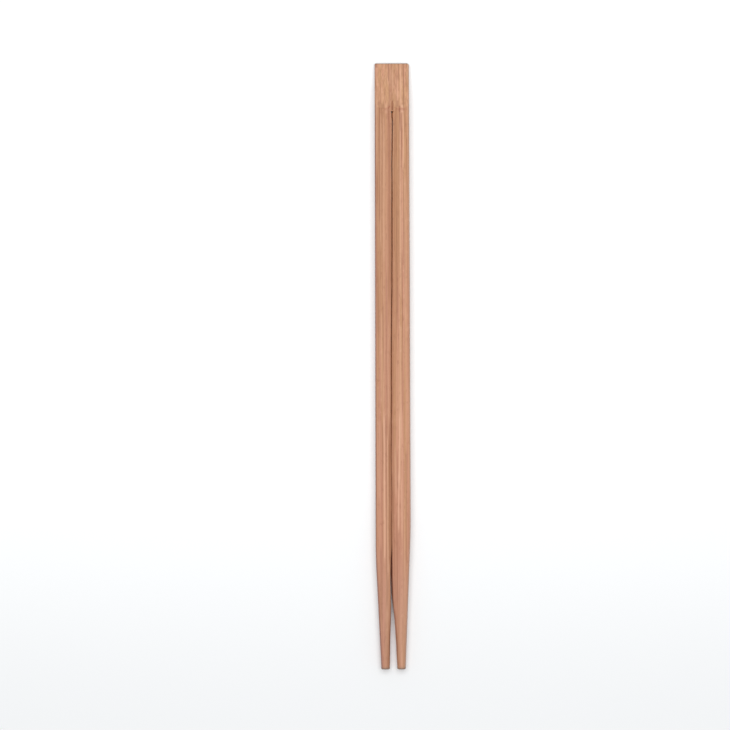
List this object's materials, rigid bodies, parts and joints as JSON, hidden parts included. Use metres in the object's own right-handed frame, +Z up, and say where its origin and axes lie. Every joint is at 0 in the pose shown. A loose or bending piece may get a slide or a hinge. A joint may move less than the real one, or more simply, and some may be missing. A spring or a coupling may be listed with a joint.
{
  "type": "disposable chopsticks",
  "caption": "Joined disposable chopsticks of bamboo: a flat moulded blank, slit from the tapered tips almost to a slant-cut head, to be snapped apart for eating.",
  "frame": {"origin": "on the table under the middle of the pair, which lies on its flat back", "axes": "+Y towards the joined head, +X across both sticks, +Z up out of the front, whose head is cut at a slant"},
  "size_m": [0.0138, 0.24, 0.0052],
  "materials": {
    "bamboo": "satin"
  },
  "bodies": {
    "root": {"chopstick_pair": "bamboo"}
  },
  "joints": []
}
